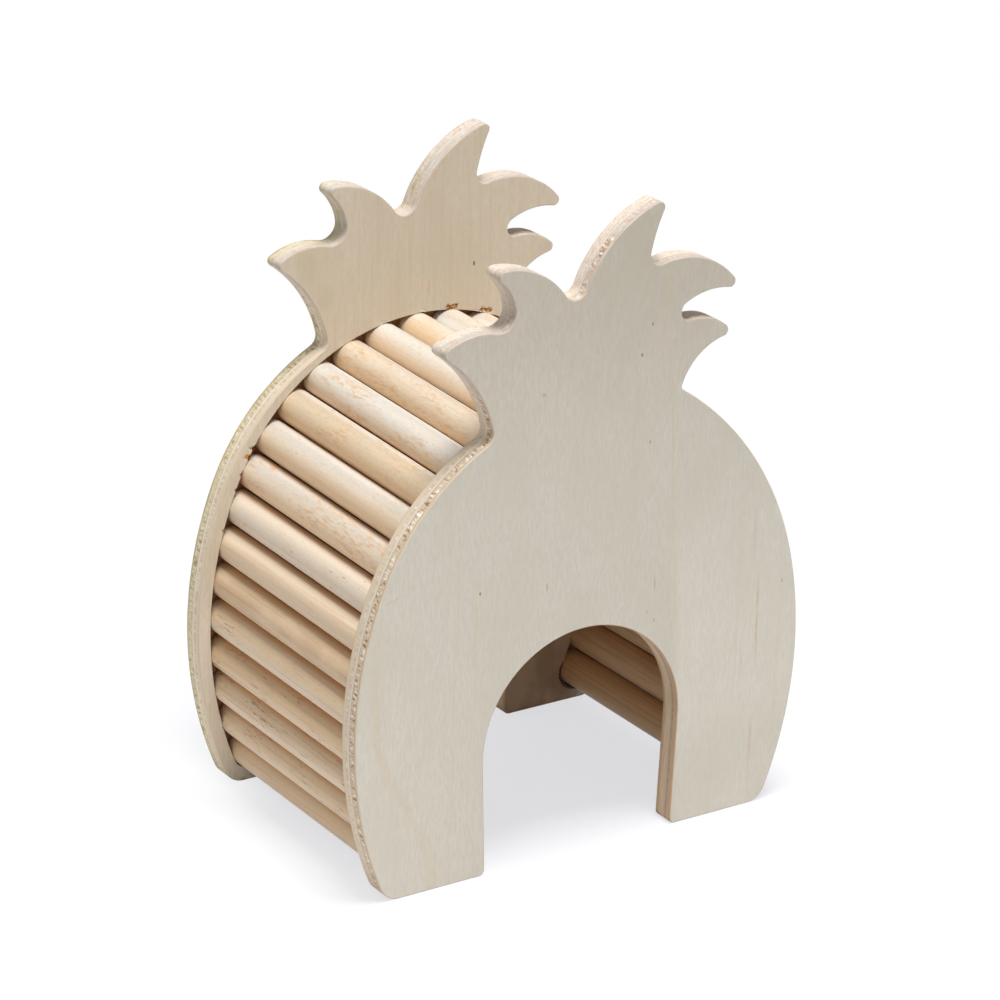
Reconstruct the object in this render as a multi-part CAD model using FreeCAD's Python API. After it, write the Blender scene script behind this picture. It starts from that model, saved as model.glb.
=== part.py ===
import FreeCAD, Part
import math
import os

# Pineapple-shaped hamster house, glued up from two plywood end panels and a row of dowels.
# The panels are alike and face each other. Each has a curved groove routed into its inner
# face, and the dowels stand in the two grooves side by side, as walls and roof in one arch.
#
# Millimetres. X runs to the right as seen from the front, Y from the front to the back and
# Z up. The origin lies on the floor, under the middle of the house.

# Stock
panel_thickness = 8.0
dowel_diameter = 11.9

# The house over both panels, front to back
house_depth = 105.0

# Body of the panel: on each side a long flank arc from the floor, then a shoulder arc
body_half_width = 82.5
widest_height = 54.0
flank_radius = 131.0
left_shoulder_angle = 22.0
left_shoulder_radius = 78.5
right_shoulder_angle = 13.2
right_shoulder_radius = 105.0
bottom_corner_radius = 7.0

# Doorway: an arch on jambs that lean in a little towards the floor
door_radius = 36.5
door_centre_height = 39.5
jamb_lean = 2.0
door_corner_radius = 2.0

# Crown of five leaves. Each leaf edge is an arc through one point of its own, and two edges
# meet sharply at a tip or a notch, which is rounded afterwards: the house ends a little below
# the tip of leaf 3. Heights are counted from the top of the left shoulder arc.
left_neck_x = -34.8
right_neck_x = 33.0
leaf_1_underside = (-40.7, 7.6)
leaf_1_tip = (-54.4, 21.4)
leaf_1_top = (-43.6, 25.9)
notch_1 = (-28.8, 23.0)
leaf_2_underside = (-30.3, 36.7)
leaf_2_tip = (-37.3, 43.7)
leaf_2_top = (-20.1, 41.5)
notch_2 = (-6.0, 18.7)
leaf_3_left = (6.8, 48.5)
leaf_3_tip = (26.1, 58.6)
leaf_3_right = (21.7, 48.6)
notch_3 = (18.9, 35.6)
leaf_4_top = (39.1, 37.5)
leaf_4_tip = (54.7, 24.7)
leaf_4_underside = (41.6, 26.5)
notch_4 = (21.4, 0.3)
leaf_5_top = (43.0, 17.6)
leaf_5_tip = (51.9, 11.3)
leaf_5_underside = (38.7, 5.7)

left_neck_radius = 4.0
right_neck_radius = 1.2
notch_1_radius = 5.3
notch_2_radius = 4.3
notch_3_radius = 3.7
notch_4_radius = 3.1
tip_radius = 1.9

# Groove for the dowel ends
groove_depth = 4.0
groove_rim = 4.3
groove_foot_rim = 4.4
groove_shoulder_angle = 25.5
seat_clearance = 0.1

# Row of dowels, from the left foot to the right one. The first ones stand close together,
# closer in the front groove than in the back one, so they fan out a little. The others share
# the rest of each groove evenly.
foot_gap = 0.8
close_count = 13
close_gap_front = 0.05
close_gap_back = 0.3
least_loose_gap = 0.3

# Sharp edge taken off with sandpaper, along both faces of a panel
edge_break = 0.4


def at(x, z):
    """A point of the panel's drawing, which lies in the XZ plane."""
    return FreeCAD.Vector(x, 0, z)


def on_circle(centre, radius, degrees):
    """The point of a circle at an angle above the direction of +X."""
    angle = math.radians(degrees)
    return centre + at(radius * math.cos(angle), radius * math.sin(angle))


def arc_between(centre, radius, start, end):
    """The arc of a circle from one angle to another, as an edge."""
    middle = on_circle(centre, radius, (start + end) / 2)
    points = on_circle(centre, radius, start), middle, on_circle(centre, radius, end)
    return Part.Arc(*points).toShape()


def mirrored(edge):
    """The same edge on the other side of the axis X = 0."""
    return edge.mirror(at(0, 0), FreeCAD.Vector(1, 0, 0))


flank_centre = at(body_half_width - flank_radius, widest_height)


def side_arcs(shoulder_angle, shoulder_radius, neck_x):
    """Flank and shoulder arc of the right-hand side, and the point of the neck they end in."""
    foot_angle = -math.degrees(math.asin(widest_height / flank_radius))
    reach = flank_radius - shoulder_radius
    centre = on_circle(flank_centre, reach, shoulder_angle)
    neck_angle = math.degrees(math.acos((neck_x - centre.x) / shoulder_radius))
    flank = arc_between(flank_centre, flank_radius, foot_angle, shoulder_angle)
    shoulder = arc_between(centre, shoulder_radius, shoulder_angle, neck_angle)
    neck = on_circle(centre, shoulder_radius, neck_angle)
    foot = on_circle(flank_centre, flank_radius, foot_angle)
    return flank, shoulder, neck, foot


def leaf_edge(start, bend, end):
    """One edge of a leaf, an arc through its bend point."""
    return Part.Arc(start, bend, end).toShape()


def crown_edges(left_neck, right_neck):
    """The leaves from the left neck to the right one, with their tips and notches."""
    reach = flank_radius - left_shoulder_radius
    base = on_circle(flank_centre, reach, left_shoulder_angle).z + left_shoulder_radius

    def leaf(point):
        return at(point[0], base + point[1])

    tips = [leaf(p) for p in (leaf_1_tip, leaf_2_tip, leaf_3_tip, leaf_4_tip, leaf_5_tip)]
    notches = [leaf(p) for p in (notch_1, notch_2, notch_3, notch_4)]
    edges = [
        leaf_edge(left_neck, leaf(leaf_1_underside), tips[0]),
        leaf_edge(tips[0], leaf(leaf_1_top), notches[0]),
        leaf_edge(notches[0], leaf(leaf_2_underside), tips[1]),
        leaf_edge(tips[1], leaf(leaf_2_top), notches[1]),
        leaf_edge(notches[1], leaf(leaf_3_left), tips[2]),
        leaf_edge(tips[2], leaf(leaf_3_right), notches[2]),
        leaf_edge(notches[2], leaf(leaf_4_top), tips[3]),
        leaf_edge(tips[3], leaf(leaf_4_underside), notches[3]),
        leaf_edge(notches[3], leaf(leaf_5_top), tips[4]),
        leaf_edge(tips[4], leaf(leaf_5_underside), right_neck),
    ]
    return edges, tips, notches


def door_edges():
    """Left jamb, arch and right jamb; the jambs are tangent to the arch."""
    centre = at(0, door_centre_height)
    lean = math.radians(jamb_lean)
    foot_x = door_radius / math.cos(lean) - door_centre_height * math.tan(lean)
    left_foot = at(-foot_x, 0)
    right_foot = at(foot_x, 0)
    arch = arc_between(centre, door_radius, 180 + jamb_lean, -jamb_lean)
    left_jamb = Part.makeLine(left_foot, on_circle(centre, door_radius, 180 + jamb_lean))
    right_jamb = Part.makeLine(on_circle(centre, door_radius, -jamb_lean), right_foot)
    return [left_jamb, arch, right_jamb], left_foot, right_foot


def upright_edges(solid, corners):
    """The edges that run through the thickness of a panel at the given corners."""
    found = []
    for edge in solid.Edges:
        ends = [at(v.X, v.Z) for v in edge.Vertexes]
        if len(ends) == 2 and ends[0].isEqual(ends[1], 1e-4):
            if any(ends[0].isEqual(corner, 1e-3) for corner in corners):
                found.append(edge)
    return found


def face_edges(solid, y):
    """The edges of a panel that lie in the plane at the given depth."""
    found = []
    for edge in solid.Edges:
        box = edge.BoundBox
        if abs(box.YMin - y) < 1e-4 and abs(box.YMax - y) < 1e-4:
            found.append(edge)
    return found


def groove_path():
    """Centres, radii and end angles of the arcs that the dowels' middles lie on."""
    groove_width = dowel_diameter + 2 * seat_clearance
    inset = groove_rim + groove_width / 2
    flank = flank_radius - inset
    joint = on_circle(flank_centre, flank, groove_shoulder_angle)
    roof = joint.x / math.cos(math.radians(groove_shoulder_angle))
    roof_centre = at(0, joint.z - roof * math.sin(math.radians(groove_shoulder_angle)))
    end_height = groove_foot_rim + groove_width / 2
    end_angle = math.degrees(math.asin((end_height - widest_height) / flank))
    return groove_width, flank, end_angle, roof_centre, roof


def groove_tool(floor_y, into):
    """The solid that the router takes out: a band along the path with round ends."""
    width, flank, end_angle, roof_centre, roof = groove_path()
    shoulder = groove_shoulder_angle
    end = on_circle(flank_centre, flank, end_angle)
    edges = []
    for side in (width / 2, -width / 2):
        flank_arc = arc_between(flank_centre, flank + side, end_angle, shoulder)
        edges += [flank_arc, mirrored(flank_arc)]
        edges.append(arc_between(roof_centre, roof + side, shoulder, 180 - shoulder))
    round_end = arc_between(end, width / 2, end_angle, end_angle - 180)
    edges += [round_end, mirrored(round_end)]
    wire = Part.Wire(Part.__sortEdges__(edges))
    band = Part.Face(wire)
    band.translate(FreeCAD.Vector(0, floor_y, 0))
    return band.extrude(FreeCAD.Vector(0, into, 0))


def panel():
    """An end panel with its outer face at Y = 0 and its groove open towards +Y."""
    right = side_arcs(right_shoulder_angle, right_shoulder_radius, right_neck_x)
    left = side_arcs(left_shoulder_angle, left_shoulder_radius, -left_neck_x)
    right_neck, right_foot = right[2], right[3]
    left_neck, left_foot = (at(-p.x, p.z) for p in left[2:])
    crown, tips, notches = crown_edges(left_neck, right_neck)
    door, left_door_foot, right_door_foot = door_edges()

    edges = [right[0], right[1], mirrored(left[0]), mirrored(left[1])]
    edges += crown + door
    edges.append(Part.makeLine(right_door_foot, right_foot))
    edges.append(Part.makeLine(left_foot, left_door_foot))
    outline = Part.Wire(Part.__sortEdges__(edges))
    board = Part.Face(outline).extrude(FreeCAD.Vector(0, panel_thickness, 0))

    for radius, corners in (
        (bottom_corner_radius, [left_foot, right_foot]),
        (door_corner_radius, [left_door_foot, right_door_foot]),
        (left_neck_radius, [left_neck]),
        (right_neck_radius, [right_neck]),
        (notch_1_radius, notches[0:1]),
        (notch_2_radius, notches[1:2]),
        (notch_3_radius, notches[2:3]),
        (notch_4_radius, notches[3:4]),
        (tip_radius, tips),
    ):
        board = board.makeFillet(radius, upright_edges(board, corners))
    board = board.makeChamfer(edge_break, face_edges(board, 0) + face_edges(board, panel_thickness))
    return board.cut(groove_tool(panel_thickness - groove_depth, groove_depth))


def path_lengths():
    """Lengths of the flank arc and of half the roof arc that the dowels' middles lie on."""
    width, flank, end_angle, roof_centre, roof = groove_path()
    flank_length = flank * math.radians(groove_shoulder_angle - end_angle)
    return flank_length, roof * math.radians(90 - groove_shoulder_angle)


def on_path(distance):
    """The point of the groove path at a distance from its left end."""
    width, flank, end_angle, roof_centre, roof = groove_path()
    flank_length, roof_length = path_lengths()
    from_top = abs(distance - flank_length - roof_length)
    if from_top < roof_length:
        point = on_circle(roof_centre, roof, 90 - math.degrees(from_top / roof))
    else:
        drop = math.degrees((from_top - roof_length) / flank)
        point = on_circle(flank_centre, flank, groove_shoulder_angle - drop)
    side = -1 if distance < flank_length + roof_length else 1
    return at(side * point.x, point.z)


def loose_count():
    """How many dowels find room after the close ones, with the least gap between them."""
    free = 2 * sum(path_lengths()) - 2 * foot_gap
    free -= (close_count - 1) * (dowel_diameter + close_gap_back)
    return math.floor(free / (dowel_diameter + least_loose_gap))


def dowel_places(close_gap):
    """Middles of the dowels in one groove, from the left foot to the right one."""
    distances = [foot_gap + n * (dowel_diameter + close_gap) for n in range(close_count)]
    last_close = distances[-1]
    end = 2 * sum(path_lengths()) - foot_gap
    step = (end - last_close) / loose_count()
    distances += [last_close + step * n for n in range(1, loose_count() + 1)]
    return [on_path(distance) for distance in distances]


def dowel(front_place, back_place):
    """A dowel between the floors of the two grooves, with its ends flush with them."""
    reach = FreeCAD.Vector(0, house_depth / 2 - panel_thickness + groove_depth, 0)
    start = front_place - reach
    axis = back_place + reach - start
    spare = axis * (dowel_diameter / axis.Length)
    length = axis.Length + 2 * dowel_diameter
    rod = Part.makeCylinder(dowel_diameter / 2, length, start - spare, axis)
    between_floors = FreeCAD.Vector(-body_half_width, -reach.y, -dowel_diameter)
    room = Part.makeBox(2 * body_half_width, 2 * reach.y, 2 * house_depth, between_floors)
    return rod.common(room)


front_panel = panel()
front_panel.translate(FreeCAD.Vector(0, -house_depth / 2, 0))
back_panel = front_panel.mirror(at(0, 0), FreeCAD.Vector(0, 1, 0))

pieces = {"front_panel": front_panel, "back_panel": back_panel}
ends = zip(dowel_places(close_gap_front), dowel_places(close_gap_back))
for number, (front_place, back_place) in enumerate(ends, start=1):
    pieces["dowel_%02d" % number] = dowel(front_place, back_place)

os.makedirs("parts", exist_ok=True)
for name, shape in pieces.items():
    shape.exportStep("parts/%s.step" % name)
    box = shape.BoundBox
    print(name, shape.isValid(), round(shape.Volume, 1), round(box.XLength, 2), round(box.ZLength, 2))
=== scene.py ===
import math

import bmesh
import bpy
import numpy as np
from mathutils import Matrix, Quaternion, Vector


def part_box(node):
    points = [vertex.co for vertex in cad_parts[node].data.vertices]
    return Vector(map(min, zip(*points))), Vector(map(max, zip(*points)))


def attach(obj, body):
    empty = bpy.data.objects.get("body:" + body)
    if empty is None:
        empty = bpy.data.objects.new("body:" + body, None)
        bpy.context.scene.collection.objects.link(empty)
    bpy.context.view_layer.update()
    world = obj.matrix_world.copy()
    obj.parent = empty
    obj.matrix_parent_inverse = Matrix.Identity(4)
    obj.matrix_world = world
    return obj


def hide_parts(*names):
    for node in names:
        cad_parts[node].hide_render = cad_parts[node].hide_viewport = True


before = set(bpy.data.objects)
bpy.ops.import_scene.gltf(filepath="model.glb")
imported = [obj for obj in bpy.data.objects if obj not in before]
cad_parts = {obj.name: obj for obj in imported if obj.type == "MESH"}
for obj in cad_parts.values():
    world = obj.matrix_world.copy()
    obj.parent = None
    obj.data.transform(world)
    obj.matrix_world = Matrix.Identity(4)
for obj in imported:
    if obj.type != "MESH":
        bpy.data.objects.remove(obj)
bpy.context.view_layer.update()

# Camera. A long lens on the front left of the house, a little above it, and turned slightly
# about its own axis.
aim = Vector((0, -0.0031, 0.1016))
distance = 1.2146
azimuth = math.radians(-33.46)
elevation = math.radians(21.38)
roll = math.radians(1.33)
sensor_width = 36
focal_length = 138.4

towards_camera = Vector((
    math.sin(azimuth) * math.cos(elevation),
    -math.cos(azimuth) * math.cos(elevation),
    math.sin(elevation),
))
camera = bpy.data.objects.new("camera", bpy.data.cameras.new("camera"))
camera.data.sensor_width = sensor_width
camera.data.lens = focal_length
camera.location = aim + distance * towards_camera
camera.rotation_mode = "QUATERNION"
level = (-towards_camera).to_track_quat("-Z", "Y")
camera.rotation_quaternion = level @ Quaternion((0, 0, 1), roll)
bpy.context.scene.collection.objects.link(camera)
bpy.context.scene.camera = camera


# Studio. A white sweep under a large overhead softbox, in a room of even white light. The floor
# takes the shadow of the house, and fades to plain white further out and behind its left side.
class Wire:
    """A socket in a node tree. Arithmetic on it adds Math nodes."""

    def __init__(self, tree, socket=None):
        self.tree = tree
        self.socket = socket

    def add(self, kind, settings=(), inputs=(), output=0):
        """Adds any node: its settings first, then the values or links of its sockets."""
        node = self.tree.nodes.new(kind)
        for name, value in dict(settings).items():
            if name == "stops":
                while len(node.color_ramp.elements) < len(value):
                    node.color_ramp.elements.new(1)
                for stop, (place, colour) in zip(node.color_ramp.elements, value):
                    stop.position = place
                    stop.color = colour
            else:
                setattr(node, name, value)
        for key, value in dict(inputs).items():
            if isinstance(value, Wire):
                self.tree.links.new(value.socket, node.inputs[key])
            else:
                node.inputs[key].default_value = value
        return Wire(self.tree, node.outputs[output] if node.outputs else None)

    def math(self, operation, *values):
        return self.add("ShaderNodeMath", {"operation": operation}, enumerate(values))

    def __add__(self, other):
        return self.math("ADD", self, other)

    def __sub__(self, other):
        return self.math("SUBTRACT", self, other)

    def __rsub__(self, other):
        return self.math("SUBTRACT", other, self)

    def __mul__(self, other):
        return self.math("MULTIPLY", self, other)

    def __truediv__(self, other):
        return self.math("DIVIDE", self, other)

    __radd__ = __add__
    __rmul__ = __mul__

    def ramp(self, low, high):
        """0 up to low, 1 from high on, and smooth between them; low may be the larger."""
        start, end, turned = (low, high, False) if low < high else (high, low, True)
        made = self.add(
            "ShaderNodeMapRange",
            {"interpolation_type": "SMOOTHSTEP"},
            {"Value": self, "From Min": start, "From Max": end},
        )
        return 1 - made if turned else made

    def at_least(self, other):
        return self.math("MAXIMUM", self, other)

    def at_most(self, other):
        return self.math("MINIMUM", self, other)

    def around_zero(self):
        """1 where this is 0, fading to 0 where it reaches 1 or -1."""
        return (self * self).ramp(1, 0)

    def mix(self, first, second):
        """Colour: first where this is 0 and second where it is 1."""
        return self.add("ShaderNodeMix", {"data_type": "RGBA"}, {0: self, 6: first, 7: second}, 2)

    def scaled(self, x, y, z):
        """This vector with each part multiplied."""
        return self.add(
            "ShaderNodeVectorMath", {"operation": "MULTIPLY"}, {0: self, 1: (x, y, z)}
        )

    def part(self, axis):
        """The X, Y or Z of this vector."""
        return self.add("ShaderNodeSeparateXYZ", inputs={0: self}, output=axis)

    def noise(self, scale, detail=2, roughness=0.5, distortion=0):
        """Noise from 0 to 1 at this vector."""
        return self.add(
            "ShaderNodeTexNoise",
            {"noise_dimensions": "3D"},
            {
                "Vector": self,
                "Scale": scale,
                "Detail": detail,
                "Roughness": roughness,
                "Distortion": distortion,
            },
        )


def srgb(red, green, blue):
    """A colour given as it shows on a screen, 0 to 255, as a linear one."""
    parts = [c / 255 for c in (red, green, blue)]
    linear = [c / 12.92 if c <= 0.04045 else ((c + 0.055) / 1.055) ** 2.4 for c in parts]
    return (*linear, 1)


def new_material(name):
    """A material with nothing in it but its output, and a wire to build on."""
    material = bpy.data.materials.new(name)
    material.use_nodes = True
    material.node_tree.nodes.clear()
    return material, Wire(material.node_tree)


floor_size = 8.0
floor_colour = srgb(250, 250, 250)
near_bounce = srgb(207, 207, 207)
left_bounce = srgb(245, 245, 245)
far_bounce = srgb(115, 115, 115)
bounce_reach = (0.3, 1.0)
left_reach = (-0.04, -0.12)
shadow_lift = 0.69
shadow_tint = (0.96, 0.965, 1.0, 1)
shadow_reach = (0.22, 0.42)
behind_reach = (0.015, 0.06)
beside_reach = (-0.055, -0.08)
plain_white = (1, 1, 1, 1)

floor_material, start = new_material("studio_floor")
place = start.add("ShaderNodeTexCoord", output="Object")
away = start.add("ShaderNodeVectorMath", {"operation": "LENGTH"}, {0: place}, "Value")
seen = start.add("ShaderNodeLightPath", output="Is Camera Ray")
for kind_of_ray in ("Is Glossy Ray", "Is Transmission Ray"):
    seen = seen.at_least(start.add("ShaderNodeLightPath", output=kind_of_ray))
to_left = place.part("X").ramp(*left_reach)
bounce = away.ramp(*bounce_reach).mix(to_left.mix(near_bounce, left_bounce), far_bounce)
matte = start.add("ShaderNodeBsdfDiffuse", inputs={"Color": seen.mix(bounce, floor_colour)})
pale = start.add("ShaderNodeEmission", inputs={"Color": shadow_tint, "Strength": 1})
white = start.add("ShaderNodeEmission", inputs={"Color": plain_white, "Strength": 1})
behind = place.part("Y").ramp(*behind_reach) * place.part("X").ramp(*beside_reach)
clear = away.ramp(*shadow_reach).at_least(behind)
lifted = start.add("ShaderNodeMixShader", inputs={0: seen * shadow_lift, 1: matte, 2: pale})
blend = start.add("ShaderNodeMixShader", inputs={0: clear * seen, 1: lifted, 2: white})
start.add("ShaderNodeOutputMaterial", inputs={"Surface": blend})

floor_mesh = bpy.data.meshes.new("studio_floor")
half = floor_size / 2
corners = [(-half, -half, 0), (half, -half, 0), (half, half, 0), (-half, half, 0)]
floor_mesh.from_pydata(corners, [], [(0, 1, 2, 3)])
floor_mesh.materials.append(floor_material)
studio_floor = bpy.data.objects.new("studio_floor", floor_mesh)
bpy.context.scene.collection.objects.link(studio_floor)

softbox_size = 0.6
softbox_place = Vector((-0.03, -0.3, 1.65))
softbox_watts = 27.5
softbox_colour = (0.98, 0.98, 0.98)
room_colour = (0.98, 0.985, 0.99, 1)
room_strength = 0.398
left_share = 0.3
front_share = 0.28

softbox = bpy.data.objects.new("softbox", bpy.data.lights.new("softbox", "AREA"))
softbox.data.shape = "SQUARE"
softbox.data.size = softbox_size
softbox.data.energy = softbox_watts
softbox.data.color = softbox_colour
softbox.location = softbox_place
softbox.rotation_mode = "QUATERNION"
softbox.rotation_quaternion = (aim - softbox_place).to_track_quat("-Z", "Y")
bpy.context.scene.collection.objects.link(softbox)

room = bpy.data.worlds.new("room")
room.use_nodes = True
room.node_tree.nodes.clear()
start = Wire(room.node_tree)
camera_ray = start.add("ShaderNodeLightPath", output="Is Camera Ray")
towards = start.add("ShaderNodeTexCoord", output="Generated")
to_right, to_back = (towards.part(axis) for axis in "XY")
strength = (1 - to_right * left_share - to_back * front_share) * room_strength
even = start.add("ShaderNodeBackground", inputs={"Color": room_colour, "Strength": strength})
white = start.add("ShaderNodeBackground", inputs={"Color": plain_white, "Strength": 1})
blend = start.add("ShaderNodeMixShader", inputs={0: camera_ray, 1: even, 2: white})
start.add("ShaderNodeOutputWorld", inputs={"Surface": blend})
bpy.context.scene.world = room
bpy.context.scene.view_settings.view_transform = "Standard"


# Panels. Two boards of 8 mm light plywood, sawn to one outline, with the sharp edge sanded off.
# A router has cut the groove that holds the glued dowels into the inner face, and chipped the
# veneer along it. The sawn edge shows the plies, one of them torn open in small pits.
mm = 0.001
edge_step = 0.37 * mm
groove_step = 0.4 * mm
curve_part = 0.05
round_rows = 3
groove_rows = 5
veneer_rows = [0.65, 0.9]
pitted_rows = [1.1 + 0.2 * k for k in range(14)]
smooth_rows = [3.9, 4.3, 4.8, 5.4, 6.0, 6.6, 7.2]
lip_rows = [2.3, 1.8, 1.4, 1.0, 0.65, 0.35, 0.15]
weld_reach = 0.002 * mm
same_place = 0.01 * mm
sharp_turn = math.radians(20)
flat_face = 0.99
pattern_shift = 57

# Chips that the router has left beside the groove, as x, z and radius in mm. Smaller ones lie at
# random places along it.
chips = {
    "front_panel": [(-20, 150.0, 1.2), (31, 145.4, 1.0), (-66, 100, 0.9), (62, 118, 1.1)],
    "back_panel": [
        (10.4, 150.0, 1.3),
        (12.2, 150.2, 1.3),
        (23.0, 147.3, 1.0),
        (25.4, 146.6, 1.1),
        (-0.2, 150.6, 0.9),
        (-14.5, 148.9, 0.8),
        (-64.2, 112.4, 1.0),
        (-62.6, 115.2, 0.8),
        (-66.0, 107.0, 1.1),
    ],
}
chip_seed = 31
random_chips = 12
random_chip_size = (0.2, 0.5)
chip_stretch = 1.4
chip_raggedness = (0.6, 1.5)


def loop_points(node, depth_rank):
    """The closed loop of the CAD board that lies at its n-th depth, as (x, z) in order."""
    board = bmesh.new()
    board.from_mesh(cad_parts[node].data)
    bmesh.ops.remove_doubles(board, verts=board.verts, dist=weld_reach)
    depths = sorted({round(v.co.y, 5) for v in board.verts}, key=lambda y: -abs(y))
    depth = depths[depth_rank]
    after = {}
    for edge in board.edges:
        if any(abs(v.co.y - depth) > same_place for v in edge.verts):
            continue
        normals = [face.normal for face in edge.link_faces]
        if len(normals) == 2 and normals[0].angle(normals[1]) > sharp_turn:
            for this, other in (edge.verts, reversed(edge.verts)):
                after.setdefault(this.index, []).append(other.index)
    board.verts.ensure_lookup_table()
    here = min(after, key=lambda i: tuple(board.verts[i].co.zx))
    order, last = [here], None
    while True:
        step = [i for i in after[order[-1]] if i != last]
        last = order[-1]
        if step[0] == order[0]:
            break
        order.append(step[0])
    points = np.array([(board.verts[i].co.x, board.verts[i].co.z) for i in order])
    board.free()
    ahead = np.roll(points, -1, axis=0)
    area = np.sum(points[:, 0] * ahead[:, 1] - ahead[:, 0] * points[:, 1])
    return points if area > 0 else np.roll(points[::-1], 1, axis=0)


def smooth_loop(points, step):
    """A closed Catmull-Rom curve through the points, cut into even steps, and its distances."""
    before, after, beyond = (np.roll(points, -k, axis=0) for k in (-1, 1, 2))

    def gap(a, b):
        return np.maximum(np.linalg.norm(b - a, axis=1), 1e-9)[:, None] ** 0.5

    first, second, third = gap(before, points), gap(points, after), gap(after, beyond)
    chord = after - points
    turn_in = (points - before) / first - (after - before) / (first + second)
    turn_out = (beyond - after) / third - (beyond - points) / (second + third)
    leave, arrive = second * turn_in + chord, second * turn_out + chord
    fine = []
    for t in np.arange(0, 1, curve_part):
        a, b = 2 * t**3 - 3 * t**2 + 1, t**3 - 2 * t**2 + t
        c, d = -2 * t**3 + 3 * t**2, t**3 - t**2
        fine.append(a * points + b * leave + c * after + d * arrive)
    fine = np.stack(fine, axis=1).reshape(-1, 2)
    fine = np.clip(fine, points.min(axis=0), points.max(axis=0))
    closed = np.vstack([fine, fine[:1]])
    along = np.concatenate([[0], np.cumsum(np.linalg.norm(np.diff(closed, axis=0), axis=1))])
    at = np.linspace(0, along[-1], int(along[-1] / step), endpoint=False)
    return np.stack([np.interp(at, along, closed[:, k]) for k in (0, 1)], axis=1), at


def outward(loop):
    """The unit normals of a loop that runs anticlockwise in (x, z)."""
    along = np.roll(loop, -1, axis=0) - np.roll(loop, 1, axis=0)
    along /= np.linalg.norm(along, axis=1)[:, None]
    return np.stack([along[:, 1], -along[:, 0]], axis=1)


def make_board(name, node, number):
    """The panel as a fine mesh: its sawn edge in rows, its faces, and the groove with its lip."""
    low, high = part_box(node)
    outer, inner = (low.y, high.y) if low.y < -high.y else (high.y, low.y)
    inwards = math.copysign(1, inner - outer)
    thickness = abs(inner - outer)
    depths = sorted({round(abs(v.co.y), 5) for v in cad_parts[node].data.vertices})
    edge_radius = abs(outer) - depths[-2]
    rim, distances = smooth_loop(loop_points(node, 1), edge_step)
    normals = outward(rim)
    rows = []
    for k in range(round_rows + 1):
        turn = math.pi / 2 * k / round_rows
        rows.append((edge_radius * (1 - math.sin(turn)), edge_radius * (1 - math.cos(turn))))
    far_rows = [(inset, thickness - depth) for inset, depth in reversed(rows)]
    rows += [(0, depth * mm) for depth in veneer_rows + pitted_rows + smooth_rows] + far_rows

    mesh = bmesh.new()
    rim_share = mesh.verts.layers.float.new("rim")
    edge_place = mesh.verts.layers.float_vector.new("edge_place")
    chip_share = mesh.verts.layers.float.new("chip")
    rings = []
    for inset, depth in rows:
        ring = []
        for (x, z), (nx, nz), distance in zip(rim, normals, distances):
            vert = mesh.verts.new((x - nx * inset, outer + inwards * depth, z - nz * inset))
            vert[rim_share] = 1 if inset < edge_radius else 0
            vert[edge_place] = (distance / mm, depth / mm, number * pattern_shift)
            ring.append(vert)
        rings.append(ring)

    mouth, _ = smooth_loop(loop_points(node, 2), groove_step)
    mouth_normals = outward(mouth)
    draw = np.random.default_rng(chip_seed + number)
    torn = [tuple(mm * part for part in chip) for chip in chips[node]]
    for k in draw.integers(0, len(mouth), random_chips):
        torn.append((*mouth[k], draw.uniform(*random_chip_size) * mm))
    torn = np.array(torn)
    lip_rings = []
    for width in lip_rows + [0]:
        ring = []
        for x, z in mouth + mouth_normals * width * mm:
            vert = mesh.verts.new((x, inner, z))
            if width < lip_rows[0]:
                away = np.hypot((torn[:, 0] - x) / chip_stretch, torn[:, 1] - z) / torn[:, 2]
                ragged = away.min() * draw.uniform(*chip_raggedness)
                vert[chip_share] = max(0, 1 - ragged) ** 0.5
            ring.append(vert)
        lip_rings.append(ring)
    for depth in np.linspace(abs(inner), depths[2], groove_rows)[1:]:
        lip_rings.append([mesh.verts.new((x, math.copysign(depth, inner), z)) for x, z in mouth])

    def ring_edges(ring):
        found = []
        for i in range(len(ring)):
            pair = (ring[i - 1], ring[i])
            found.append(mesh.edges.get(pair) or mesh.edges.new(pair))
        return found

    for strip in (rings, lip_rings):
        for a, b in zip(strip, strip[1:]):
            for i in range(len(a)):
                j = (i + 1) % len(a)
                mesh.faces.new((a[i], a[j], b[j], b[i]))
    for edges in (
        ring_edges(rings[0]),
        ring_edges(rings[-1]) + ring_edges(lip_rings[0]),
        ring_edges(lip_rings[-1]),
    ):
        bmesh.ops.triangle_fill(mesh, use_beauty=True, edges=edges)
    bmesh.ops.recalc_face_normals(mesh, faces=mesh.faces)
    for face in mesh.faces:
        face.smooth = abs(face.normal.y) < flat_face
    made = bpy.data.meshes.new(name)
    mesh.to_mesh(made)
    mesh.free()
    piece = bpy.data.objects.new(name, made)
    bpy.context.scene.collection.objects.link(piece)
    return piece


def new_tree(name, inputs):
    """A geometry tree with a geometry input and named number inputs."""
    tree = bpy.data.node_groups.new(name, "GeometryNodeTree")
    tree.interface.new_socket("Geometry", in_out="INPUT", socket_type="NodeSocketGeometry")
    kinds = {float: "NodeSocketFloat", tuple: "NodeSocketVector"}
    for label, value in inputs.items():
        kind = kinds.get(type(value), "NodeSocketMaterial")
        socket = tree.interface.new_socket(label, in_out="INPUT", socket_type=kind)
        socket.default_value = value
    tree.interface.new_socket("Geometry", in_out="OUTPUT", socket_type="NodeSocketGeometry")
    group = tree.nodes.new("NodeGroupInput")
    return tree, {socket.name: Wire(tree, socket) for socket in group.outputs if socket.name}


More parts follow.
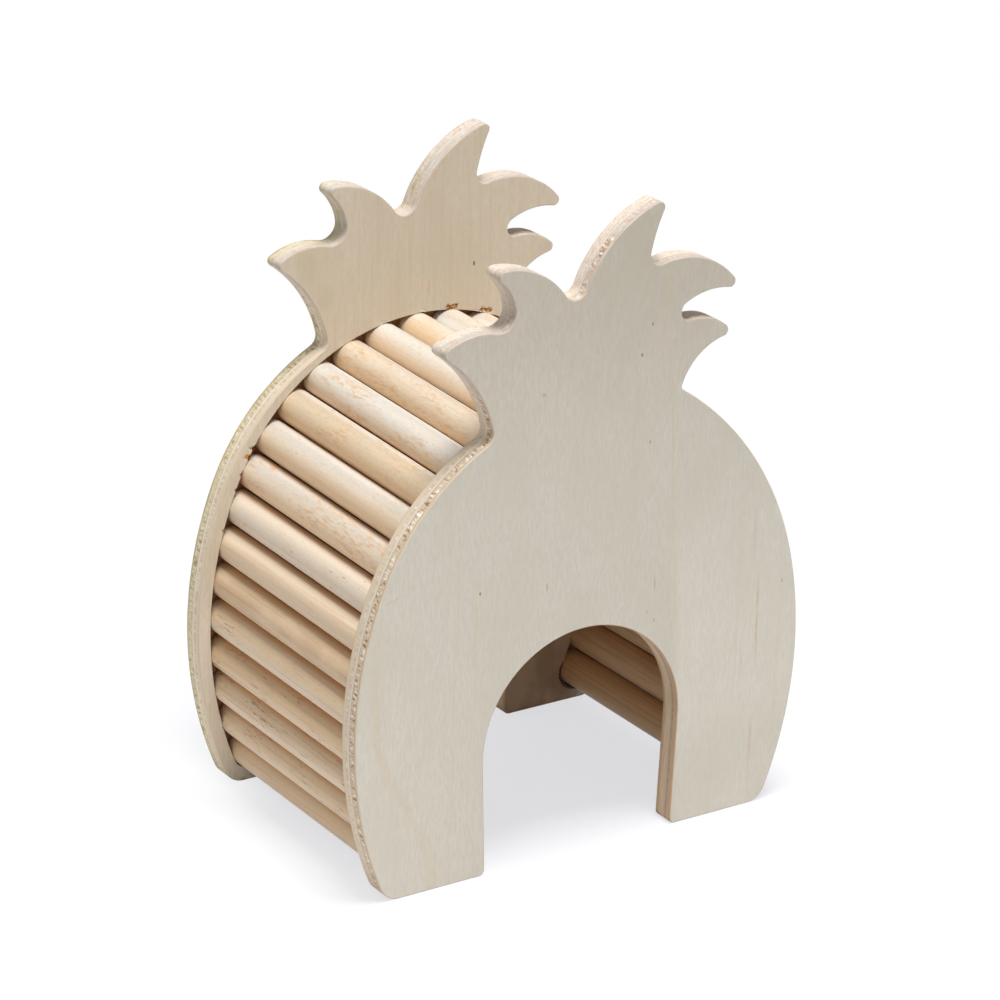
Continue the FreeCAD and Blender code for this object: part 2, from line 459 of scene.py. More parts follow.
def grown(piece, tree, values):
    """The piece with the tree's result as its plain mesh."""
    modifier = piece.modifiers.new("grow", "NODES")
    modifier.node_group = tree
    for item in tree.interface.items_tree:
        if item.in_out == "INPUT" and item.name in values:
            modifier[item.identifier] = values[item.name]
    evaluated = piece.evaluated_get(bpy.context.evaluated_depsgraph_get())
    piece.data = bpy.data.meshes.new_from_object(evaluated)
    piece.modifiers.remove(modifier)
    piece.data.name = piece.name
    return piece


def with_attribute(geometry, name, value, kind="FLOAT"):
    """The geometry with a value stored under this name at each point."""
    return geometry.add(
        "GeometryNodeStoreNamedAttribute",
        {"data_type": kind, "domain": "POINT"},
        {"Geometry": geometry, "Name": name, "Value": value},
    )


def pressed_in(geometry, amount):
    """The geometry with each point moved into the surface by this much."""
    normal = geometry.add("GeometryNodeInputNormal")
    offset = geometry.add(
        "ShaderNodeVectorMath", {"operation": "SCALE"}, {0: normal, "Scale": 0 - amount}
    )
    return geometry.add("GeometryNodeSetPosition", inputs={"Geometry": geometry, "Offset": offset})


def end_tree(geometry, material):
    """Ends a geometry tree, with everything real and in its material."""
    real = geometry.add("GeometryNodeRealizeInstances", inputs={"Geometry": geometry})
    done = geometry.add("GeometryNodeSetMaterial", inputs={"Geometry": real, "Material": material})
    geometry.add("NodeGroupOutput", inputs={0: done})


thickness_mm = 8
pitted_from, pitted_to = 1.1, 3.7
pit_depth = 0.26 * mm
fuzz_depth = 0.05 * mm
chip_depth = 0.35 * mm
relief_depth = 0.15 * mm
in_mm = (1000, 1000, 1000)


def end_material(start, colour, relief, strength, roughness, shine):
    """Ends a material, with its colour, its fine relief and how rough and shiny it is."""
    bump = start.add(
        "ShaderNodeBump",
        inputs={"Height": relief, "Strength": strength, "Distance": relief_depth},
        output="Normal",
    )
    surface = start.add(
        "ShaderNodeBsdfPrincipled",
        inputs={
            "Base Color": colour,
            "Roughness": roughness,
            "Normal": bump,
            "Specular IOR Level": shine,
        },
    )
    start.add("ShaderNodeOutputMaterial", inputs={"Surface": surface})


plywood, start = new_material("plywood")
place = start.add("ShaderNodeTexCoord", output="Object").scaled(*in_mm)
side, across, height = (place.part(axis) for axis in "XYZ")
half_depth = abs(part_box("front_panel")[0].y) / mm
depth = half_depth - across.math("ABSOLUTE", across)
rim, pit, chip = (
    start.add("ShaderNodeAttribute", {"attribute_name": name}, output="Fac")
    for name in ("rim", "pit", "chip")
)
edge_place = start.add("ShaderNodeAttribute", {"attribute_name": "edge_place"}, output="Vector")
front_board, back_board = across.ramp(1, 0), across.ramp(0, 1)
on_front = across.ramp(-half_depth + 2, -half_depth + 1)
on_inside = depth.ramp(7, 7.5)


def spot(x, z, wide, high):
    """1 at a place on a face, given in mm, fading to 0 this far to its sides and up and down."""
    aside, above = (side - x) / wide, (height - z) / high
    return (aside * aside + above * above).ramp(1, 0.15)


# Faces: sanded rotary-cut veneer with fine upright grain and soft blotches. The outer faces are
# painted darker towards the crown, as painted shade. The inner ones are warmer, less so on the
# right, and at the left edge they are painted paler, as painted light in the shade beside the
# rods.
grain = place.scaled(1, 0.3, 0.22).noise(1.5, detail=3, roughness=0.6)
blotch = place.scaled(1, 0.5, 0.5).noise(0.055, detail=3)
streak = place.scaled(1, 0.3, 0.04).noise(0.3, detail=3)
threads = place.scaled(1, 0.3, 0.03).noise(1.3, detail=2)
outer_tone = grain.ramp(0.25, 0.75).mix(srgb(219, 211, 197), srgb(229, 222, 209))
outer_tone = (blotch.ramp(0.35, 0.7) * 0.6).mix(outer_tone, srgb(219, 212, 196))
outer_tone = (streak.ramp(0.55, 0.8) * 0.45).mix(outer_tone, srgb(220, 207, 186))
# Painted shade: the outer faces darken towards the crown
outer_tone = height.ramp(118, 205).mix(outer_tone, outer_tone.scaled(0.885, 0.865, 0.83))
inner_tone = grain.ramp(0.25, 0.75).mix(srgb(214, 202, 184), srgb(223, 213, 196))
inner_tone = (blotch.ramp(0.35, 0.7) * 0.6).mix(inner_tone, srgb(214, 201, 182))
inner_tone = (streak.ramp(0.5, 0.75) * 0.3).mix(inner_tone, srgb(211, 194, 171))
inner_tone = (threads.ramp(0.45, 0.7) * 0.18).mix(inner_tone, srgb(196, 176, 150))
inner_tone = inner_tone.scaled(0.99, 0.97, 0.93)
# Paler on the right, and painted light at the left edge, in the shade beside the rods
for where, paler in (
    (side.ramp(5, 40), (1.05, 1.05, 1.06)),
    (side.ramp(-30, -45) * height.ramp(100, 115) * height.ramp(155, 145), (1.04, 1.06, 1.1)),
    (side.ramp(-58, -68) * height.ramp(80, 50), (1.12, 1.14, 1.18)),
):
    inner_tone = where.mix(inner_tone, inner_tone.scaled(*paler))
face_tone = depth.ramp(4, 4.5).mix(outer_tone, inner_tone)

# The front board has a warm band up its left foot, a slanting seam with paler veneer on its
# right, and hairlines, each with its x, bottom, top and half width in mm, its share and colour
wander = place.scaled(1, 1, 0.6).noise(0.12, detail=2) * 5
band = (side + 73 + wander - height.ramp(62, 0) * 21) / 2.4
band = band.around_zero() * height.ramp(92, 70) * on_front
face_tone = (band * 0.28).mix(face_tone, srgb(221, 203, 176))
seam_place = side - 38.4 + height * 0.059 + (wander - 2.5) * 0.2
past_seam = seam_place.ramp(-2.5, 2.5) * on_front * height.ramp(140, 60)
past_seam = past_seam * (height.ramp(15, 45) * 0.65 + 0.35)
face_tone = past_seam.mix(face_tone, face_tone.scaled(1.09, 1.095, 1.11))
seam_line = (seam_place / 0.55).around_zero() * height.ramp(66, 76) * on_front
face_tone = (seam_line * streak.ramp(0.35, 0.6) * 0.35).mix(face_tone, srgb(224, 202, 158))
for x, bottom, top, wide, share, tint in (
    (66.3, 53, 78, 0.6, 0.55, srgb(214, 178, 116)),
    (-40.4, 70, 94, 0.7, 0.45, srgb(222, 200, 158)),
    (64.0, 87, 101, 1.0, 0.35, srgb(200, 188, 184)),
    (60.6, 46, 56, 0.9, 0.3, srgb(200, 188, 180)),
    (65.9, 17, 28, 0.8, 0.4, srgb(206, 184, 154)),
):
    hairline = ((side - x + (wander - 2.5) * 0.3) / wide).around_zero()
    hairline = hairline * height.ramp(bottom - 5, bottom + 4) * height.ramp(top + 5, top - 4)
    hairline = hairline * on_front * grain.ramp(0.3, 0.6)
    face_tone = (hairline * share).mix(face_tone, tint)

# Its small marks, each with its place and half size in mm, its share and colour, and a scratch
dark_mark, amber_mark, brown_mark = srgb(138, 116, 92), srgb(222, 162, 92), srgb(172, 138, 100)
for x, z, wide, high, share, tint in (
    (-39, 95.6, 0.5, 0.8, 0.75, dark_mark),
    (17.7, 162.1, 0.5, 0.8, 0.75, dark_mark),
    (21.3, 171.4, 0.4, 0.7, 0.75, dark_mark),
    (26, 73, 0.5, 0.9, 0.6, amber_mark),
    (23.2, 76.4, 0.4, 0.7, 0.6, amber_mark),
    (-53.7, 174, 0.7, 0.7, 0.6, amber_mark),
    (-17.7, 155.5, 0.7, 0.7, 0.4, brown_mark),
    (21.9, 133.2, 0.6, 0.8, 0.4, brown_mark),
    (25.7, 85.5, 0.3, 3, 0.4, brown_mark),
    (-14.7, 92.7, 0.4, 1.8, 0.4, brown_mark),
    (75.7, 76.2, 0.5, 0.7, 0.4, brown_mark),
):
    face_tone = (spot(x, z, wide, high) * on_front * share).mix(face_tone, tint)
above_scratch = (height - 99.7 - (side + 70) * 0.3) / 0.25
along_scratch = (side + 70.3) / 2.4
scratch = (above_scratch * above_scratch).ramp(1, 0.2)
scratch = scratch * (along_scratch * along_scratch).ramp(1, 0.7)
face_tone = (scratch * on_front * 0.25).mix(face_tone, srgb(190, 140, 112))

# The back board has a dark mark, a reddish thread and two greenish stains, which show on both
# its faces, and scuffs along the inner side of its feet
for x, z, wide, high, share, tint in (
    (19.3, 163.6, 0.55, 1.0, 0.85, srgb(112, 84, 60)),
    (2.3, 158.2, 0.7, 4, 0.3, srgb(216, 160, 134)),
):
    face_tone = (spot(x, z, wide, high) * back_board * share).mix(face_tone, tint)
for x, z, wide, high, share in ((-43.7, 171.9, 6, 7, 0.2), (-36, 161, 4, 6, 0.15)):
    stain = spot(x, z, wide, high) * blotch.ramp(0.4, 0.6) * back_board
    face_tone = (stain * share).mix(face_tone, srgb(182, 180, 138))
scuffs = place.scaled(0.5, 0.5, 1).noise(0.8, detail=3).ramp(0.4, 0.6)
scuffed = height.ramp(2.2, 0.4) * scuffs * back_board * on_inside
face_tone = (scuffed * 0.6).mix(face_tone, srgb(120, 88, 60))

# Glue and painted shade darken the groove. Inside the house the veneer is painted darker and
# warmer, as painted shade, and is smudged. The chips beside the groove show brown fibres, some of
# them orange, red or pale. A dark crescent at the right foot of the back board's inner face is a
# painted shadow in the gaps round the end of the last rod, within a wider patch of painted shade.
# Glue and painted shade in the groove
in_groove = depth.ramp(1, 2) * depth.ramp(7.95, 7.6)
face_tone = in_groove.mix(face_tone, srgb(164, 116, 74))
above_walls = (height - 72).at_least(0)
in_arch = (side * side + above_walls * above_walls).ramp(65 * 65, 60 * 60) * on_inside
smudge = place.scaled(1, 0.3, 0.4).noise(0.12, detail=3).ramp(0.42, 0.62)
# Painted shade: darker, warmer veneer inside the house
face_tone = (in_arch * 0.6).mix(face_tone, srgb(206, 172, 140))
face_tone = (in_arch * smudge * 0.35).mix(face_tone, srgb(150, 118, 92))
fibre = place.noise(1.8, detail=2)
chip_tone = fibre.ramp(0.4, 0.6).mix(srgb(118, 74, 44), srgb(206, 160, 104))
chip_tone = (spot(-64, 112.6, 2.2, 2) * 0.9).mix(chip_tone, srgb(222, 150, 44))
chip_tone = (spot(-65.6, 107.2, 2, 2) * 0.8).mix(chip_tone, srgb(176, 92, 62))
pale_chip = side.ramp(-30, -24).mix(chip_tone, srgb(246, 238, 226))
chip_tone = side.ramp(5, 2).mix(chip_tone, pale_chip)
face_tone = chip.ramp(0.25, 0.6).mix(face_tone, chip_tone)
# Painted shadow in the gaps round the end of the last rod, in a wider patch of painted shade
aside, above = (side - 63.6 + (fibre - 0.5) * 1.5) / 6.6, (height - 10.6 + fibre) / 6.9
crescent = (aside * aside + above * above).ramp(1.05, 0.8).at_least(spot(61.9, 17.6, 2.0, 2.6))
face_tone = (crescent * back_board * on_inside).mix(face_tone, srgb(58, 40, 30))
gap_shade = spot(61.5, 7.5, 11, 9) * back_board * on_inside
face_tone = (gap_shade * 0.35).mix(face_tone, srgb(96, 66, 44))


# Edge: the plies in their order from the outer face. Their borders wander, and the torn ply is
# streaked across with brown pits and pale fibres, more in some stretches than in others. Their
# brown is partly painted shade in the pits, and their pale partly painted highlights on the
# fibres.
def streaks(edge):
    """The pattern of pits and fibres across the sawn edge, 0 in a pit and 1 on a fibre."""
    return edge.scaled(1, 0.3, 1).noise(1.05, detail=3, roughness=0.6)


def torn_stretches(edge):
    """1 in the stretches of the edge that the saw has torn most."""
    return edge.scaled(1, 0.1, 1).noise(0.045, detail=2).ramp(0.32, 0.5)


def in_doorway(aside, above):
    """1 on the edge of the doorway, from a place in mm to the side and up."""
    arch = (above - 40).at_least(0)
    return (aside * aside + arch * arch).ramp(42 * 42, 39 * 39) * above.ramp(90, 80)


def in_crown(above):
    """1 on the edge of the crown, from a height in mm."""
    return above.ramp(150, 168)


def ply_tones(stretch, sway, plies):
    """The colours of the plies at their depths in mm, with borders that sway along the edge."""
    swaying = edge_place.scaled(stretch, 0.2, 1).noise(0.3, detail=3) - 0.5
    return start.add(
        "ShaderNodeValToRGB",
        {"stops": [(ply_depth / thickness_mm, colour) for ply_depth, colour in plies]},
        {0: (depth + swaying * sway) / thickness_mm},
    )


teeth = streaks(edge_place)
lines = edge_place.scaled(0.12, 2.6, 1).noise(1.0, detail=3)
fine_lines = edge_place.scaled(0.1, 2.2, 1).noise(1.3, detail=3)
doorway, crown = in_doorway(side, height), in_crown(height)
flank = (1 - crown) * (1 - doorway)
facing = across.ramp(-45.5, -52.5) + across.ramp(51.5, 44.5) * back_board
edge_tone = ply_tones(1, 0.8, [
    (0.35, srgb(226, 212, 192)),
    (0.5, srgb(216, 178, 140)),
    (0.8, srgb(214, 180, 144)),
    (1.05, srgb(224, 208, 184)),
    (3.3, srgb(221, 202, 178)),
    (3.6, srgb(196, 170, 144)),
    (3.8, srgb(240, 228, 214)),
    (4.3, srgb(238, 225, 208)),
    (4.6, srgb(230, 214, 192)),
    (7.1, srgb(231, 214, 191)),
    (7.35, srgb(236, 221, 200)),
    (7.6, srgb(220, 184, 146)),
    (7.85, srgb(226, 210, 188)),
])
edge_tone = (lines.ramp(0.45, 0.75) * 0.35).mix(edge_tone, srgb(208, 186, 156))
# Painted shade: the crown's edges, which face the light from above, are greyer
edge_tone = (crown * 0.4).mix(edge_tone, srgb(218, 211, 204))
edge_tone = (crown * fine_lines.ramp(0.5, 0.68) * 0.55).mix(edge_tone, srgb(196, 178, 162))
edge_tone = (crown * fine_lines.ramp(0.48, 0.32) * 0.6).mix(edge_tone, srgb(244, 240, 236))
# Painted shade: the crown's edges darker, most towards the front
edge_tone = (crown * (facing * 0.7 + 0.3)).mix(edge_tone, edge_tone.scaled(0.75, 0.765, 0.8))
dimmed = (depth.ramp(4, 5) * 0.8 + front_board).at_most(1)
edge_tone = (flank * dimmed).mix(edge_tone, edge_tone.scaled(0.86, 0.86, 0.85))

# The doorway is cut cleaner: its plies are warmer, with a line of glue between two of them
jamb_tone = ply_tones(0.4, 0.5, [
    (0.3, srgb(214, 178, 148)),
    (1.2, srgb(222, 190, 158)),
    (2.1, srgb(216, 192, 160)),
    (2.5, srgb(196, 174, 148)),
    (2.8, srgb(204, 180, 154)),
    (3.2, srgb(222, 196, 172)),
    (4.0, srgb(239, 211, 186)),
    (5.6, srgb(237, 214, 180)),
    (6.4, srgb(228, 203, 164)),
    (7.2, srgb(212, 182, 148)),
])
jamb_tone = (fine_lines.ramp(0.45, 0.7) * 0.5).mix(jamb_tone, srgb(190, 162, 128))
jamb_tone = (fine_lines.ramp(0.45, 0.3) * 0.4).mix(jamb_tone, srgb(238, 216, 192))
glue_line = depth.ramp(2.0, 2.3) * depth.ramp(3.0, 2.7)
glue_line = glue_line * edge_place.scaled(0.5, 0.5, 1).noise(0.9).ramp(0.45, 0.65)
jamb_tone = (glue_line * 0.6).mix(jamb_tone, srgb(156, 136, 116))
edge_tone = doorway.mix(edge_tone, jamb_tone)

# Pits and fibres: most in the torn ply, fewer in the next but one, and hardly any in the doorway.
# Their brown is partly painted shade, and their pale partly painted highlights
torn_stretch = (torn_stretches(edge_place) * 0.65 + 0.35) * (1 - doorway) * (1 - crown * 0.7)
tall_leaf = (spot(3.2, 197, 6, 8) + spot(0.5, 191, 11, 19) * 0.75) * front_board
torn_stretch = torn_stretch.at_least(tall_leaf)
in_pitted = depth.ramp(pitted_from - 0.2, pitted_from + 0.2)
in_pitted = in_pitted * depth.ramp(pitted_to, pitted_to - 0.4)
shaded_dark_pits = teeth.ramp(0.5, 0.38) * in_pitted * torn_stretch
lit_pale_fibres = teeth.ramp(0.54, 0.66) * in_pitted * torn_stretch
edge_tone = (shaded_dark_pits * 0.8).mix(edge_tone, srgb(166, 130, 98))
edge_tone = (lit_pale_fibres * 0.9).mix(edge_tone, srgb(250, 244, 236))
in_row = depth.ramp(4.6, 5.0) * depth.ramp(6.4, 5.7) * (1 - doorway) * (1 - crown * 0.5)
edge_tone = (teeth.ramp(0.5, 0.4) * in_row * 0.6).mix(edge_tone, srgb(206, 172, 132))
edge_tone = (teeth.ramp(0.55, 0.65) * in_row * 0.5).mix(edge_tone, srgb(246, 238, 226))
edge_tone = (teeth.ramp(0.45, 0.3) * 0.25).mix(edge_tone, srgb(206, 180, 150))
# The sunk pits are coloured brown, partly painted shade in them
edge_tone = (pit.ramp(0.2, 0.9) * 0.7).mix(edge_tone, srgb(132, 98, 68))

# Dirt on the feet, freckles and rusty stains on the crown, and the left of the back board has
# aged to a yellow green
dirt = height.ramp(3.5, 0.2) * edge_place.scaled(0.5, 0.5, 1).noise(0.8, detail=3).ramp(0.35, 0.6)
edge_tone = (dirt * 0.6).mix(edge_tone, srgb(150, 118, 84))
freckles = crown * edge_place.scaled(0.7, 0.9, 1).noise(1.5, detail=3).ramp(0.56, 0.66)
freckles = freckles * (front_board * 0.6 + 0.2)
edge_tone = (freckles * 0.7).mix(edge_tone, srgb(204, 160, 108))
rust = crown * edge_place.scaled(0.6, 1, 1).noise(0.75, detail=3).ramp(0.56, 0.68)
edge_tone = (rust * 0.65).mix(edge_tone, srgb(206, 160, 118))
aged = back_board * depth.ramp(5.5, 2) * side.ramp(0, -30)
edge_tone = (aged * 0.4).mix(edge_tone, srgb(206, 198, 150))
mossy = spot(3, 186, 11, 18) * depth.ramp(6, 4) + spot(-31, 181, 12, 12) * depth.ramp(8, 4)
mossy = back_board * mossy * fine_lines.ramp(0.42, 0.6)
edge_tone = (mossy * 0.6).mix(edge_tone, srgb(164, 156, 120))
aged_lines = aged * depth.ramp(1.6, 0.4) * lines.ramp(0.35, 0.6)
edge_tone = (aged_lines * 0.8).mix(edge_tone, srgb(150, 142, 96))
tone = rim.ramp(0.2, 0.8).mix(face_tone, edge_tone)
end_material(start, tone, rim * teeth + grain * 0.4, strength=0.25, roughness=0.72, shine=0.25)

# The saw tears pits into the ply whose grain runs into the board, and leaves the rest fuzzy
sawn, given = new_tree(
    "sawn_edge",
    {
        "Pit depth": pit_depth,
        "Fuzz depth": fuzz_depth,
        "Chip depth": chip_depth,
        "Material": plywood,
    },
)
start = given["Geometry"]
rim, chip = (
    start.add("GeometryNodeInputNamedAttribute", {"data_type": "FLOAT"}, {"Name": name})
    for name in ("rim", "chip")
)
place = start.add(
    "GeometryNodeInputNamedAttribute", {"data_type": "FLOAT_VECTOR"}, {"Name": "edge_place"}
)
depth = place.part("Y")
in_pitted = depth.ramp(pitted_from, pitted_from + 0.3) * depth.ramp(pitted_to, pitted_to - 0.3)
position = start.add("GeometryNodeInputPosition").scaled(*in_mm)
side, height = (position.part(axis) for axis in "XZ")
smoother = (1 - in_doorway(side, height)) * (1 - in_crown(height) * 0.6)
pits = streaks(place).ramp(0.47, 0.34) * in_pitted * (torn_stretches(place) * 0.8 + 0.2)
pits = pits * rim * smoother
fuzz = place.scaled(0.5, 1, 1).noise(1.6, detail=2)
sunk = pits * given["Pit depth"] + fuzz * rim * given["Fuzz depth"] + chip * given["Chip depth"]
end_tree(with_attribute(pressed_in(start, sunk), "pit", pits), given["Material"])

for number, node in enumerate(("front_panel", "back_panel")):
    board = grown(make_board(node + "_board", node, number), sawn, {})
    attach(board, "root")
    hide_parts(node)


# Dowels. 29 rods of pale softwood, milled round and sawn to one length, glued side by side
# into the grooves. No two are cut from the same stick, so tone and grain differ from rod to rod.
dowel_sides = 56
dowel_rings = 60
dowel_wear = 0.09 * mm
swelling = 0.16 * mm
stick_shift = 137

dowel_wood, start = new_material("dowel_wood")
place = start.add("ShaderNodeAttribute", {"attribute_name": "grain"}, output="Vector")
tone_share, torn_share, fleck_share, line_share, upper, lower, inside, shelter = (
    start.add("ShaderNodeAttribute", {"attribute_name": name}, output="Fac")
    for name in ("tone", "torn", "flecks", "lines", "upper", "lower", "inside", "shelter")
)
wood = tone_share.ramp(0, 0.5).mix(srgb(217, 210, 199), srgb(219, 207, 189))
wood = tone_share.ramp(0.5, 1).mix(wood, srgb(209, 184, 149))
wood = tone_share.ramp(1, 2).mix(wood, srgb(172, 146, 116))
cloud = place.scaled(1, 0.3, 1).noise(0.22, detail=3)
wood = (cloud.ramp(0.4, 0.7) * (tone_share * 0.5 + 0.2)).mix(wood, srgb(213, 192, 165))
strokes = place.scaled(1, 0.22, 1).noise(1.9, detail=3, roughness=0.65)
wood = (strokes.ramp(0.5, 0.66) * 0.6).mix(wood, wood.scaled(0.92, 0.76, 0.58))

# Painted light and shade, by how each rod faces its neighbours and the sky. The sheltered rods of
# the wall are painted darker and warmer, with painted shade under the rod above them and painted
# light along their lower edge; those of the roof, under the open sky, have painted highlights on
# top and a painted warm yellow glow of light bounced between the rods below.
open_sky = 1 - shelter
low_down = start.add("ShaderNodeTexCoord", output="Object").part("Z").ramp(0.09, 0.06)
# Painted shade: the sheltered rods darker and warmer
wood = (shelter * 0.4).mix(wood, srgb(218, 190, 157))
# Painted highlight on top of the rods under the open sky
wood = (upper.ramp(0.5, 0.85) * open_sky * 0.6).mix(wood, srgb(246, 240, 230))
# Painted bounced light: a warm yellow glow on their lower side
golden_bounce = (lower - shelter.ramp(0.3, 0) * 0.5).ramp(-0.5, 0.6) * open_sky.ramp(0, 0.5)
wood = (golden_bounce * 0.6).mix(wood, srgb(232, 186, 128))
# Painted highlight on the upper side of the sheltered rods above the lowest ones
gleam = upper.ramp(0.1, 0.5) * upper.ramp(0.95, 0.75) * shelter.ramp(0.7, 1) * (1 - low_down)
wood = (gleam * 0.45).mix(wood, srgb(240, 221, 198))
# Painted shade: the upper side of the lowest rods darker and warmer
wood = (upper.ramp(-0.4, 0.4) * low_down).mix(wood, wood.scaled(0.97, 0.9, 0.79))
# Painted shade, toning down the lit top of the half-sheltered rods
half_open = upper.ramp(0, 0.5) * shelter.ramp(0.95, 0.6)
wood = half_open.mix(wood, wood.scaled(0.89, 0.925, 0.97))
# Painted shade under the rod above each sheltered rod
wood = (upper.ramp(0.72, 0.95) * shelter * 0.8).mix(wood, srgb(198, 144, 96))
# Painted light along the lower edge of each sheltered rod
wood = (lower.ramp(0.6, 0.9) * shelter * 0.4).mix(wood, srgb(242, 224, 200))

# Dark grain lines, torn grain in patches of short slanting strokes, and a few resin flecks
lines = place.scaled(1, 0.015, 1).noise(0.95, detail=4, roughness=0.65, distortion=0.3)
line_tone = shelter.mix(srgb(205, 164, 122), srgb(190, 146, 106))
wood = (lines.ramp(0.5, 0.68) * (line_share * 0.5 + 0.08)).mix(wood, line_tone)
torn_patches = place.scaled(1, 0.35, 1).noise(0.14, detail=2)
torn_strokes = place.scaled(1, 0.25, 1).noise(1.1, detail=3, roughness=0.6)
dark_streaks = place.scaled(1, 0.12, 1).noise(1.5, detail=3, roughness=0.7).ramp(0.52, 0.64)
torn = torn_strokes.ramp(0.46, 0.66) * open_sky.ramp(0, 0.3) + dark_streaks * shelter.ramp(0.7, 1)
torn = torn * (torn_patches + torn_share * 0.28).ramp(0.7, 0.84)
torn_tone = shelter.ramp(0.6, 1).mix(srgb(208, 162, 112), srgb(140, 92, 56))
wood = (torn * 0.7).mix(wood, torn_tone)
specks = start.add(
    "ShaderNodeTexVoronoi",
    {"voronoi_dimensions": "3D", "feature": "F1", "distance": "MANHATTAN"},
    {"Vector": place.scaled(1, 0.4, 1), "Scale": 0.42, "Randomness": 1},
    "Distance",
)
flecks = specks.ramp(0.22, 0.12) * fleck_share
wood = (flecks * 0.8).mix(wood, srgb(196, 146, 104))

# Inside the house the rods are painted orange brown, and the joints dark brown: both painted shade
shaded_inner_wood = lines.ramp(0.4, 0.66).mix(srgb(236, 190, 136), srgb(212, 164, 112))
# Painted shade on the sides of the rods that face into the house
wood = (inside.ramp(-0.1, 0.4) * 0.75).mix(wood, shaded_inner_wood)
# Painted shade in the creases between the rods
joint_shade = upper.at_least(lower).ramp(0.975, 0.996)
wood = joint_shade.mix(wood, shelter.mix(srgb(118, 66, 30), srgb(158, 106, 64)))
relief = strokes - torn * 0.8 - flecks * 0.5
end_material(start, wood, relief, strength=0.2, roughness=0.5, shine=0.5)

milled, given = new_tree(
    "milled_rod",
    {
        "Radius": 0.006,
        "Length": 0.1,
        "Front end": (0.0, 0.0, 0.0),
        "Back end": (0.0, 0.0, 0.0),
        "Wear": dowel_wear,
        "Roll": 0.0,
        "Tone": 0.5,
        "Stick": 0.0,
        "Towards upper": (0.0, 0.0, 1.0),
        "Towards lower": (0.0, 0.0, -1.0),
        "Inwards": (1.0, 0.0, 0.0),
        "Shelter": 0.0,
        "Torn": 0.0,
        "Flecks": 0.0,
        "Lines": 0.0,
        "Material": dowel_wood,
    },
)
start = given["Geometry"]
rod = start.add(
    "GeometryNodeMeshCylinder",
    {"fill_type": "NGON"},
    {
        "Vertices": dowel_sides,
        "Side Segments": dowel_rings,
        "Radius": given["Radius"],
        "Depth": given["Length"],
    },
)
rod = start.add(
    "GeometryNodeTransform", inputs={"Geometry": rod, "Rotation": (math.pi / 2, 0, 0)}
)
turned = start.add(
    "ShaderNodeVectorRotate",
    {"rotation_type": "Y_AXIS"},
    {
        "Vector": start.add("GeometryNodeInputPosition").scaled(*in_mm),
        "Angle": given["Roll"],
    },
)
shift = start.add("ShaderNodeCombineXYZ", inputs={"Y": given["Stick"] * stick_shift})
grain_place = start.add("ShaderNodeVectorMath", {"operation": "ADD"}, {0: turned, 1: shift})
rod = with_attribute(rod, "grain", grain_place, "FLOAT_VECTOR")
for label in ("Tone", "Shelter", "Torn", "Flecks", "Lines"):
    rod = with_attribute(rod, label.lower(), given[label])
normal = start.add("GeometryNodeInputNormal")
for name, label in (
    ("upper", "Towards upper"),
    ("lower", "Towards lower"),
    ("inside", "Inwards"),
):
    facing = start.add(
        "ShaderNodeVectorMath", {"operation": "DOT_PRODUCT"}, {0: normal, 1: given[label]}, "Value"
    )
    rod = with_attribute(rod, name, facing)
uneven = grain_place.scaled(0.25, 0.06, 0.25).noise(1.0, detail=2)
rod = pressed_in(rod, uneven * given["Wear"])
share = start.add("GeometryNodeInputPosition").part("Y") / given["Length"] + 0.5
lean = start.add(
    "ShaderNodeMix",
    {"data_type": "VECTOR"},
    {0: share, 4: given["Front end"], 5: given["Back end"]},
    1,
)
rod = start.add("GeometryNodeSetPosition", inputs={"Geometry": rod, "Offset": lean})
end_tree(rod, given["Material"])

# Rods by number, from the left foot, that aren't of the usual tone, or whose faults stand out.
# A tone of 0 is nearly white, 1 is tan and 2 brown.
rod_tones = {
    5: 0.45, 6: 1.55, 7: 0.75, 8: 0.1, 9: 0.2, 10: 0.25, 11: 0.8,
    12: 0.1, 13: 0.65, 14: 0.0, 15: 0.45, 16: 0.5, 17: 0.45,
}
torn_rods = {2: 0.8, 3: 1.0, 4: 0.75, 9: 1.0, 11: 0.7, 12: 0.75, 13: 0.9}
flecked_rods = {8: 1.0, 10: 0.5}
lined_rods = {1: 0.8, 2: 1.0, 3: 0.9, 4: 0.6, 5: 0.7, 6: 1.0, 7: 0.4, 28: 0.9, 29: 0.8}
rod_seed = 7
flat_end = 0.9
heart = Vector((0, 0, 0.08))
straight = 0.001
roof_slope, slope_span = -0.75, 0.6

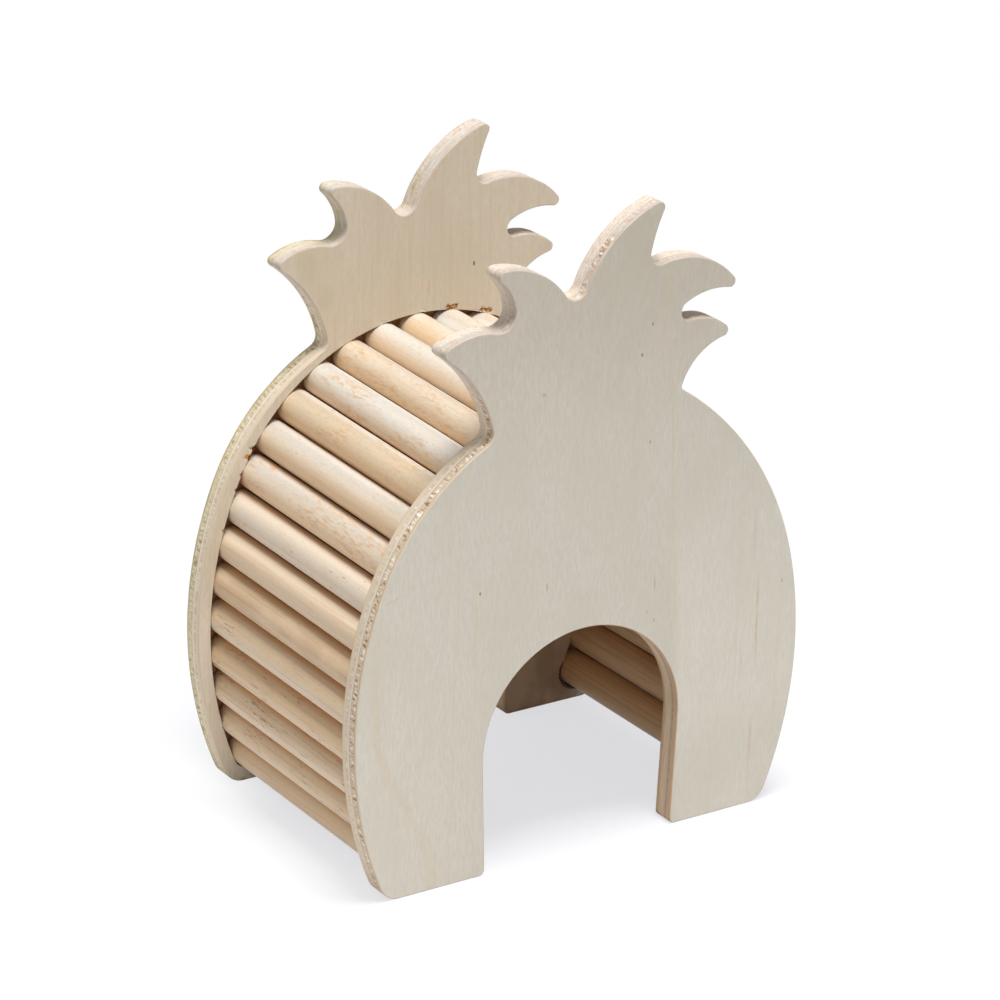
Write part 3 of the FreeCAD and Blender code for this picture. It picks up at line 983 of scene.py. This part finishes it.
draw = np.random.default_rng(rod_seed)
dowel_nodes = sorted(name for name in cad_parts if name.startswith("dowel_"))
ends = {}
for node in dowel_nodes:
    low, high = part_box(node)
    places = np.array([v.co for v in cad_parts[node].data.vertices])
    for end in (low.y, high.y):
        ring = places[abs(places[:, 1] - end) < same_place]
        centre = (ring.min(axis=0) + ring.max(axis=0)) / 2
        radius = float(np.linalg.norm(ring - centre, axis=1).min())
        ends.setdefault(node, []).append(Vector((centre[0], 0, centre[2])))
middles = [sum(ends[node], Vector()) / 2 for node in dowel_nodes]

# The rods of the right half are thickened a little, so that less light falls between them
for k, node in enumerate(dowel_nodes):
    low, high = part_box(node)
    here = middles[k]
    neighbours = [middles[j] for j in (k - 1, k + 1) if 0 <= j < len(middles)]
    sides = [(middle - here).normalized() for middle in neighbours]
    if len(sides) == 1:
        sides.append(-sides[0])
    sides.sort(key=lambda towards: towards.z)
    bend = sides[0] + sides[1]
    inwards = -bend.normalized()
    if bend.length <= straight or inwards.dot(heart - here) < 0:
        inwards = (heart - here).normalized()
    blank = bpy.data.objects.new(node + "_rod", bpy.data.meshes.new(node))
    bpy.context.scene.collection.objects.link(blank)
    rod = grown(blank, milled, {
        "Radius": radius + (swelling if k >= len(dowel_nodes) / 2 else 0),
        "Length": high.y - low.y,
        "Front end": ends[node][0],
        "Back end": ends[node][1],
        "Roll": draw.uniform(0, 2 * math.pi),
        "Tone": rod_tones.get(k + 1, draw.uniform(0, 0.8)),
        "Stick": draw.uniform(0, 100),
        "Torn": torn_rods.get(k + 1, draw.uniform(0, 0.35)),
        "Flecks": flecked_rods.get(k + 1, draw.uniform(0, 0.5) ** 2),
        "Lines": lined_rods.get(k + 1, draw.uniform(0, 0.6)),
        "Towards upper": sides[1],
        "Towards lower": sides[0],
        "Inwards": inwards,
        "Shelter": min(1, max(0, (inwards.z - roof_slope) / slope_span)),
    })
    for face in rod.data.polygons:
        face.use_smooth = abs(face.normal.y) < flat_end
    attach(rod, "root")
    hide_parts(node)
